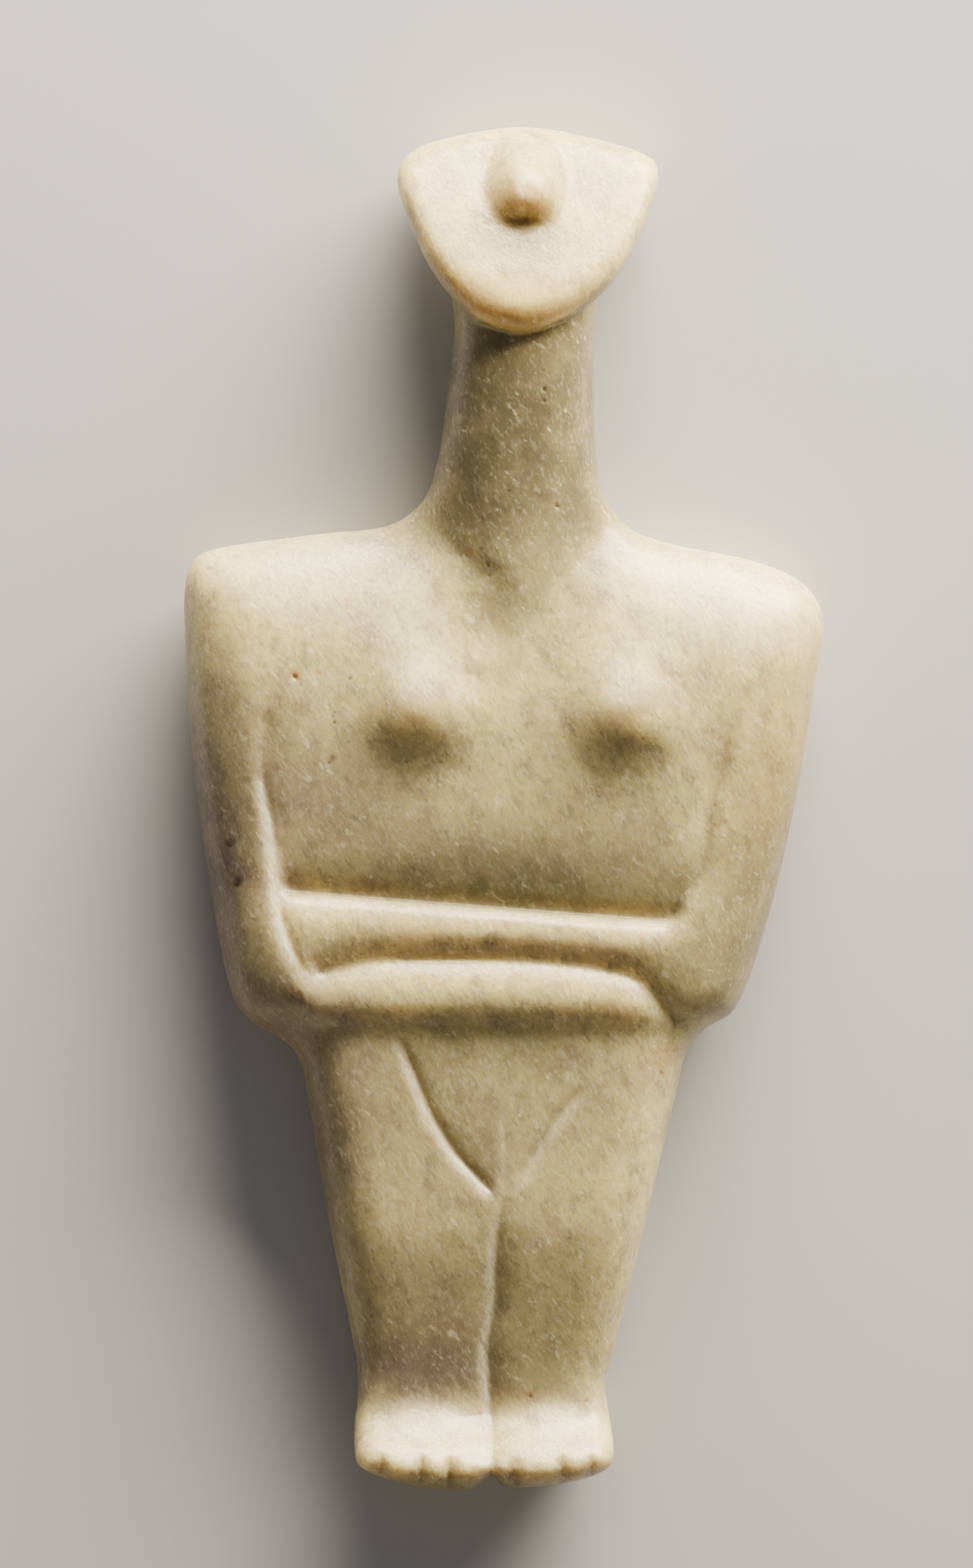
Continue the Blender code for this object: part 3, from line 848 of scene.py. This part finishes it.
    blooms: tuple[Bloom, ...] = (
        # Face and nose: the tan of the face and nose, and painted light: a glow under the chin, shade
        # under the nose and a highlight along its ridge; a rust spot
        Bloom(Tint.HONEY_AND_PAINTED_LIGHT, (4.0, 90.0), (24.0, 11.0), 0.50),
        Bloom(Tint.HONEY_AND_PAINTED_LIGHT, (0.0, 99.0), (28.0, 20.0), 0.50),
        Bloom(Tint.HONEY_AND_PAINTED_LIGHT, (4.4, 108.5), (12.0, 9.0), 0.40),
        Bloom(Tint.HONEY_AND_PAINTED_LIGHT, (4.1, 116.0), (10.0, 12.0), 0.60),
        Bloom(Tint.OLIVE_SHADE_AND_SOIL, (4.4, 108.0), (13.0, 8.5), 0.60),
        Bloom(Tint.WEAR_AND_HIGHLIGHT, (3.4, 118.0), (1.8, 8.0), 0.60),
        Bloom(Tint.RUST, (-8.4, 105.7), (2.2, 1.7), 0.30),
        # Neck: painted shadow of the chin over the neck and down into the V of the chest, with some brown
        # tone of its own; two rust spots
        Bloom(Tint.OLIVE_SHADE_AND_SOIL, (3.0, 75.0), (40.0, 42.0), 0.92, UNDER_CHIN),
        Bloom(Tint.OLIVE_SHADE_AND_SOIL, (-13.0, 78.0), (18.0, 38.0), 0.90, UNDER_CHIN),
        Bloom(Tint.OLIVE_SHADE_AND_SOIL, (18.0, 76.0), (18.0, 36.0), 0.85, UNDER_CHIN),
        Bloom(Tint.OLIVE_SHADE_AND_SOIL, (3.0, 52.0), (25.0, 26.0), 0.72),
        Bloom(Tint.OLIVE_SHADE_AND_SOIL, (3.0, 37.0), (8.0, 12.0), 0.30),
        Bloom(Tint.UMBER_SHADE_AND_SOIL, (-10.0, 70.0), (10.0, 26.0), 0.30, UNDER_CHIN),
        Bloom(Tint.RUST, (-6.5, 48.5), (1.4, 1.4), 0.45),
        Bloom(Tint.RUST, (-1.0, 36.0), (1.2, 1.0), 0.35),
        # Shoulders and chest: painted highlights on both shoulders, painted shade on the figure's right
        # side of the chest, a honey patch on the right shoulder, rust and a stained pit
        Bloom(Tint.HONEY_AND_PAINTED_LIGHT, (-50.0, 34.0), (12.0, 10.0), 0.25),
        Bloom(Tint.UMBER_SHADE_AND_SOIL, (-34.0, 2.0), (26.0, 26.0), 0.50),
        Bloom(Tint.WEAR_AND_HIGHLIGHT, (-36.0, 44.0), (30.0, 14.0), 0.40),
        Bloom(Tint.WEAR_AND_HIGHLIGHT, (-19.0, 36.0), (11.0, 14.0), 0.40),
        Bloom(Tint.WEAR_AND_HIGHLIGHT, (42.0, 40.0), (28.0, 18.0), 0.50),
        Bloom(Tint.RUST, (-39.6, 25.2), (1.6, 1.3), 0.55),
        Bloom(Tint.RUST, (-34.8, 25.7), (1.3, 1.0), 0.50),
        Bloom(Tint.STAIN_AND_SHADE, (-32.6, 9.2), (1.3, 1.8), 0.45),
        # Breasts: painted highlight above, a painted glow along the lower edge and painted shadow below,
        # and a faint rust patch
        Bloom(Tint.HONEY_AND_PAINTED_LIGHT, (-17.5, 16.8), (9.5, 4.5), 0.42),
        Bloom(Tint.HONEY_AND_PAINTED_LIGHT, (22.5, 16.8), (9.5, 4.5), 0.42),
        Bloom(Tint.OLIVE_SHADE_AND_SOIL, (-23.0, 5.0), (18.0, 13.0), 0.34),
        Bloom(Tint.OLIVE_SHADE_AND_SOIL, (18.0, 4.5), (18.0, 13.0), 0.38),
        Bloom(Tint.WEAR_AND_HIGHLIGHT, (-16.5, 24.0), (7.0, 7.0), 0.60),
        Bloom(Tint.WEAR_AND_HIGHLIGHT, (22.8, 23.5), (7.0, 7.0), 0.60),
        Bloom(Tint.RUST, (-17.8, 22.0), (5.0, 2.5), 0.18),
        # Upper arms, elbows and forearms: a painted glow along the figure's left arm and painted shade
        # over it, painted shade above and between the forearms, painted shade on the figure's right arm
        # where it turns from the light, and dirt in two pits
        Bloom(Tint.HONEY_AND_PAINTED_LIGHT, (64.0, -4.0), (29.0, 64.0), 0.80),
        Bloom(Tint.OLIVE_SHADE_AND_SOIL, (66.0, -16.0), (36.0, 52.0), 1.0),
        Bloom(Tint.OLIVE_SHADE_AND_SOIL, (46.0, -28.0), (26.0, 32.0), 0.70),
        Bloom(Tint.OLIVE_SHADE_AND_SOIL, (6.0, -13.0), (58.0, 16.0), 0.66),
        Bloom(Tint.OLIVE_SHADE_AND_SOIL, (4.0, -4.0), (48.0, 34.0), 0.25),
        Bloom(Tint.OLIVE_SHADE_AND_SOIL, (8.0, -27.5), (44.0, 5.0), 0.35),
        Bloom(Tint.UMBER_SHADE_AND_SOIL, (-64.0, -8.0), (29.0, 62.0), 1.0),
        Bloom(Tint.UMBER_SHADE_AND_SOIL, (-54.0, -18.0), (12.0, 30.0), 0.50),
        Bloom(Tint.UMBER_SHADE_AND_SOIL, (-46.0, -40.0), (26.0, 22.0), 0.50),
        Bloom(Tint.UMBER_SHADE_AND_SOIL, (-10.0, -8.0), (26.0, 14.0), 0.20),
        Bloom(Tint.STAIN_AND_SHADE, (-52.0, -7.2), (1.8, 2.6), 0.50),
        Bloom(Tint.STAIN_AND_SHADE, (-50.5, -14.7), (1.6, 2.8), 0.60),
        # Belly and thighs: painted shade below the lower forearm, over the belly and thighs and on the
        # figure's right hip, and rust spots
        Bloom(Tint.OLIVE_SHADE_AND_SOIL, (4.0, -46.0), (46.0, 12.0), 0.40),
        Bloom(Tint.OLIVE_SHADE_AND_SOIL, (-4.0, -64.0), (50.0, 30.0), 0.50),
        Bloom(Tint.UMBER_SHADE_AND_SOIL, (-34.0, -60.0), (22.0, 46.0), 0.60),
        Bloom(Tint.RUST, (-18.8, -47.6), (1.2, 1.0), 0.45),
        Bloom(Tint.RUST, (30.5, -47.0), (6.0, 5.0), 0.35),
        # Shins: painted shade, darkest just above the ankles, more on the figure's right
        Bloom(Tint.OLIVE_SHADE_AND_SOIL, (4.0, -98.0), (36.0, 28.0), 0.42),
        Bloom(Tint.OLIVE_SHADE_AND_SOIL, (-4.0, -107.5), (40.0, 11.0), 0.60),
        Bloom(Tint.UMBER_SHADE_AND_SOIL, (-16.0, -100.0), (26.0, 26.0), 0.50),
        Bloom(Tint.UMBER_SHADE_AND_SOIL, (-18.0, -107.5), (24.0, 10.0), 0.55),
        # Feet and toes: a honey band over the ankles, painted highlights on the tops of the feet, painted
        # shade on the ends of the toes, which face away from the light, and rust spots
        Bloom(Tint.HONEY_AND_PAINTED_LIGHT, (-4.0, -112.5), (36.0, 6.0), 0.22),
        Bloom(Tint.OLIVE_SHADE_AND_SOIL, (-4.0, -132.0), (70.0, 11.0), 0.95),
        Bloom(Tint.WEAR_AND_HIGHLIGHT, (-12.0, -116.5), (17.0, 7.5), 0.42),
        Bloom(Tint.WEAR_AND_HIGHLIGHT, (11.0, -116.5), (12.0, 7.5), 0.42),
        Bloom(Tint.RUST, (5.2, -112.0), (1.8, 1.6), 0.45),
        Bloom(Tint.RUST, (15.6, -113.6), (1.8, 1.6), 0.45),
        Bloom(Tint.RUST, (-4.6, -116.0), (2.0, 1.8), 0.40),
    )

    def forms(self) -> tuple[Cut | Pit, ...]:
        """Gives all the fine relief: the lines, the notches between the toes and the pits."""
        # Each notch holds painted shade in its bottom
        notches = [
            Cut(
                ((x, self.toe_front), (x + self.toe_lean, self.toe_root)),
                depth=0.32,
                walls=(1.6, 1.6),
                lip=0.08,
                fades=(0.5, 3.0),
                dirt_and_shade=0.20,
            )
            for x in self.toe_clefts
        ]
        return (*self.cuts, *notches, *self.pits)

    def refined(self) -> bmesh.types.BMesh:
        """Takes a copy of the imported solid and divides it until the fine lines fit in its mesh.

        Returns:
            One closed mesh of small triangles, still in the solid's form.
        """
        skin = bmesh.new()
        skin.from_mesh(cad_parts["marble_figurine"].data)
        bmesh.ops.remove_doubles(skin, verts=skin.verts, dist=ONE_POINT)
        for _ in range(self.divisions):
            ends = np.array([[*e.verts[0].co, *e.verts[1].co] for e in skin.edges]) / MM
            middle = (ends[:, :3] + ends[:, 3:]) / 2
            length = np.linalg.norm(ends[:, :3] - ends[:, 3:], axis=1)
            limit = self.wanted_edge(middle)
            skin.edges.ensure_lookup_table()
            chosen = [skin.edges[i] for i in np.flatnonzero(length > self.too_long * limit)]
            if not chosen:
                break
            bmesh.ops.subdivide_edges(
                skin, edges=chosen, cuts=1, smooth=self.rounding, smooth_falloff="LINEAR"
            )
            bmesh.ops.remove_doubles(skin, verts=skin.verts, dist=ONE_POINT)
            bmesh.ops.triangulate(skin, faces=[f for f in skin.faces if len(f.verts) > 3])
        return skin

    def wanted_edge(self, places: np.ndarray) -> np.ndarray:
        """Says how long an edge of the mesh may be at each place.

        Args:
            places: points in millimetres, one row of three each.

        Returns:
            The length in millimetres at each place.
        """
        plan, front = places[:, :2], places[:, 2] > self.back_below
        nearest = np.full(len(places), np.inf)
        for form in self.forms():
            own = front if form.side is Side.FRONT else ~front
            nearest = np.where(own, np.minimum(nearest, form.reach(plan)), nearest)
        within, over = (share * self.fine_reach for share in self.fine_shares)
        near = smooth_fall(np.maximum(nearest - within, 0), over)
        limit = np.where(front, self.coarse_edge, self.back_coarser * self.coarse_edge)
        return limit + (self.fine_edge - limit) * near

    def relief(self, places: np.ndarray, normals: np.ndarray) -> np.ndarray:
        """Adds up the fine relief of both sides.

        Args:
            places: points in millimetres, one row of three each.
            normals: the way the surface faces at each of them.

        Returns:
            The change of height in millimetres at each place.
        """
        plan = places[:, :2]
        change = np.zeros(len(places))
        for side in Side:
            forms = [form for form in self.forms() if form.side is side]
            change += sum(form.relief(plan) for form in forms) * side.facing(normals)
        return change

    def unevenness(self, places: np.ndarray) -> np.ndarray:
        """Gives the slight waves that abrading by hand left, in millimetres."""
        broad_size, small_size = self.wave_sizes
        elsewhere = Vector((7, 3, 1))
        broad = [noise.noise(Vector(p) / broad_size) for p in places]
        small = [noise.noise(Vector(p) / small_size + elsewhere) for p in places]
        return self.hand_wear * (np.array(broad) + self.small_wave * np.array(small))

    def build(self) -> bpy.types.Object:
        """Builds the figure's mesh and dresses it.

        Returns:
            The finished piece.
        """
        skin = self.refined()
        stroke(skin, skin.verts)
        for rub in self.rubs:
            rub.wear(skin)
        skin.normal_update()
        places = np.array([v.co for v in skin.verts]) / MM
        normals = np.array([v.normal for v in skin.verts])
        change = self.relief(places, normals) + self.unevenness(places)
        moved = (places + normals * change[:, None]) * MM
        moved[:, 2] = np.maximum(moved[:, 2], 0)
        for vert, place in zip(skin.verts, moved):
            vert.co = place
        mesh = bpy.data.meshes.new("carved_figure")
        skin.to_mesh(mesh)
        skin.free()
        mesh.shade_smooth()
        self.paint(mesh)
        piece = bpy.data.objects.new("carved_figure", mesh)
        bpy.context.scene.collection.objects.link(piece)
        mesh.materials.append(self.finish.material())
        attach(piece, "root")
        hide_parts("marble_figurine")
        return piece

    def paint(self, mesh: bpy.types.Mesh) -> None:
        """Marks on the mesh how much of each tint there is, painted light and shade among them, one
        layer for each.

        Args:
            mesh: the finished mesh of the figure.
        """
        count = len(mesh.vertices)
        normals = np.zeros(count * 3)
        mesh.vertices.foreach_get("normal", normals)
        places = np.zeros(count * 3)
        mesh.vertices.foreach_get("co", places)
        shares = self.tinted(places.reshape(-1, 3) / MM, normals.reshape(-1, 3))
        for tint, values in shares.items():
            layer = mesh.attributes.new(tint.value, "FLOAT", "POINT")
            layer.data.foreach_set("value", values.astype(np.float32))

    def tinted(self, places: np.ndarray, normals: np.ndarray) -> dict[Tint, np.ndarray]:
        """Works out how much of each tint lies on the stone, painted light and shade among them.

        Blooms add up, and a line's or a pit's mark counts where it is stronger than what lies there.
        Faces that look to the foot end, away from the light, get a painted honey glow, as of light
        through the stone.

        Args:
            places: points in millimetres, one row of three each.
            normals: the way the surface faces at each of them.

        Returns:
            The share of each tint at each point, from 0 to 1.
        """
        shares = {tint: np.zeros(len(places)) for tint in Tint}
        # Painted glow: faces that look to the foot end, away from the light, turn honey
        foot_side = np.clip(-normals[:, 1], 0, 1)
        honey_and_painted_light = self.foot_end_painted_glow * foot_side**self.foot_end_curve
        shares[Tint.HONEY_AND_PAINTED_LIGHT] = np.clip(honey_and_painted_light, 0, self.most_foot_end_painted_glow)
        for bloom in self.blooms:
            shares[bloom.tint] = 1 - (1 - shares[bloom.tint]) * (1 - bloom.share(places))
        for form in self.forms():
            facing = form.side.facing(normals)
            for tint, mark in form.marks(places[:, :2]).items():
                shares[tint] = np.maximum(shares[tint], mark * facing)
        return shares


@dataclass(frozen=True)
class SoftLight:
    """A soft light with an oval face that looks at the figure.

    Its direction is the way to it from the figure. Its distance, width and height are in metres and
    its power in watts.
    """

    name: str
    colour: str
    direction: Point3
    distance: float
    size: tuple[float, float]
    power: float

    def hang(self) -> None:
        """Hangs the light in its place, turned to the figure."""
        lamp = bpy.data.lights.new(self.name, "AREA")
        lamp.shape = "ELLIPSE"
        lamp.size, lamp.size_y = self.size
        lamp.energy = self.power
        lamp.color = linear(self.colour)[:3]
        holder = bpy.data.objects.new(self.name, lamp)
        way = Vector(self.direction).normalized()
        holder.location = way * self.distance
        holder.rotation_euler = way.to_track_quat("Z", "Y").to_euler()
        bpy.context.scene.collection.objects.link(holder)


@dataclass
class Studio:
    """The pale floor, the soft lights and the camera that looks straight down.

    The picture's height and middle, the camera's height and its sensor are in millimetres. The
    lights are a large key beyond the head and a weak warm one beyond the feet. The room itself
    fills the shadows. The floor's half width and the camera's clipping distances are in metres.
    """

    picture_height: float = 300.3
    picture_middle: Point = (-3.26, 4.42)
    camera_height: float = 3000.0
    sensor: float = 36.0
    clipping: tuple[float, float] = (0.05, 10.0)
    lights: tuple[SoftLight, ...] = (
        SoftLight("key_light", "FFF3DC", (0.37, 0.89, 0.26), 1.0, (1.25, 0.62), 92.0),
        SoftLight("low_light", "FFE6BE", (-0.15, -0.95, 0.26), 1.2, (1.2, 0.5), 2.5),
    )
    room_colour: str = "E8ECF2"
    room_strength: float = 0.15
    floor_half: float = 2.0
    finish: PalePaper = field(default_factory=PalePaper)

    def floor(self) -> bpy.types.Object:
        """Lays the floor under the figure.

        Returns:
            The floor, marked as stage.
        """
        sheet = bmesh.new()
        bmesh.ops.create_grid(sheet, x_segments=2, y_segments=2, size=self.floor_half)
        mesh = bpy.data.meshes.new("floor")
        sheet.to_mesh(mesh)
        sheet.free()
        floor = bpy.data.objects.new("floor", mesh)
        bpy.context.scene.collection.objects.link(floor)
        mesh.materials.append(self.finish.material())
        return floor

    def light(self) -> None:
        """Hangs the lights and gives the room its own weak light."""
        for light in self.lights:
            light.hang()
        world = bpy.data.worlds.new("room")
        world.use_nodes = True
        sky = world.node_tree.nodes["Background"]
        sky.inputs["Color"].default_value = linear(self.room_colour)
        sky.inputs["Strength"].default_value = self.room_strength
        bpy.context.scene.world = world

    def camera(self) -> bpy.types.Object:
        """Places the camera straight above the figure, with the sensor's width along the figure.

        Returns:
            The scene's camera.
        """
        lens = bpy.data.cameras.new("overhead")
        lens.sensor_width = self.sensor
        lens.lens = self.sensor * self.camera_height / self.picture_height
        lens.clip_start, lens.clip_end = self.clipping
        eye = bpy.data.objects.new("overhead", lens)
        x, y = self.picture_middle
        eye.location = Vector((x, y, self.camera_height)) * MM
        bpy.context.scene.collection.objects.link(eye)
        bpy.context.scene.camera = eye
        return eye


def main() -> None:
    """Builds the figure and its studio in order."""
    logging.basicConfig(level=logging.INFO, format="%(message)s")
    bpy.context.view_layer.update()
    piece = MarbleFigurine().build()
    LOG.info("%s: %d triangles", piece.name, len(piece.data.polygons))
    studio = Studio()
    for made in (studio.floor(), studio.camera()):
        LOG.info("%s is in place", made.name)
    studio.light()


if __name__ == "__main__":
    main()
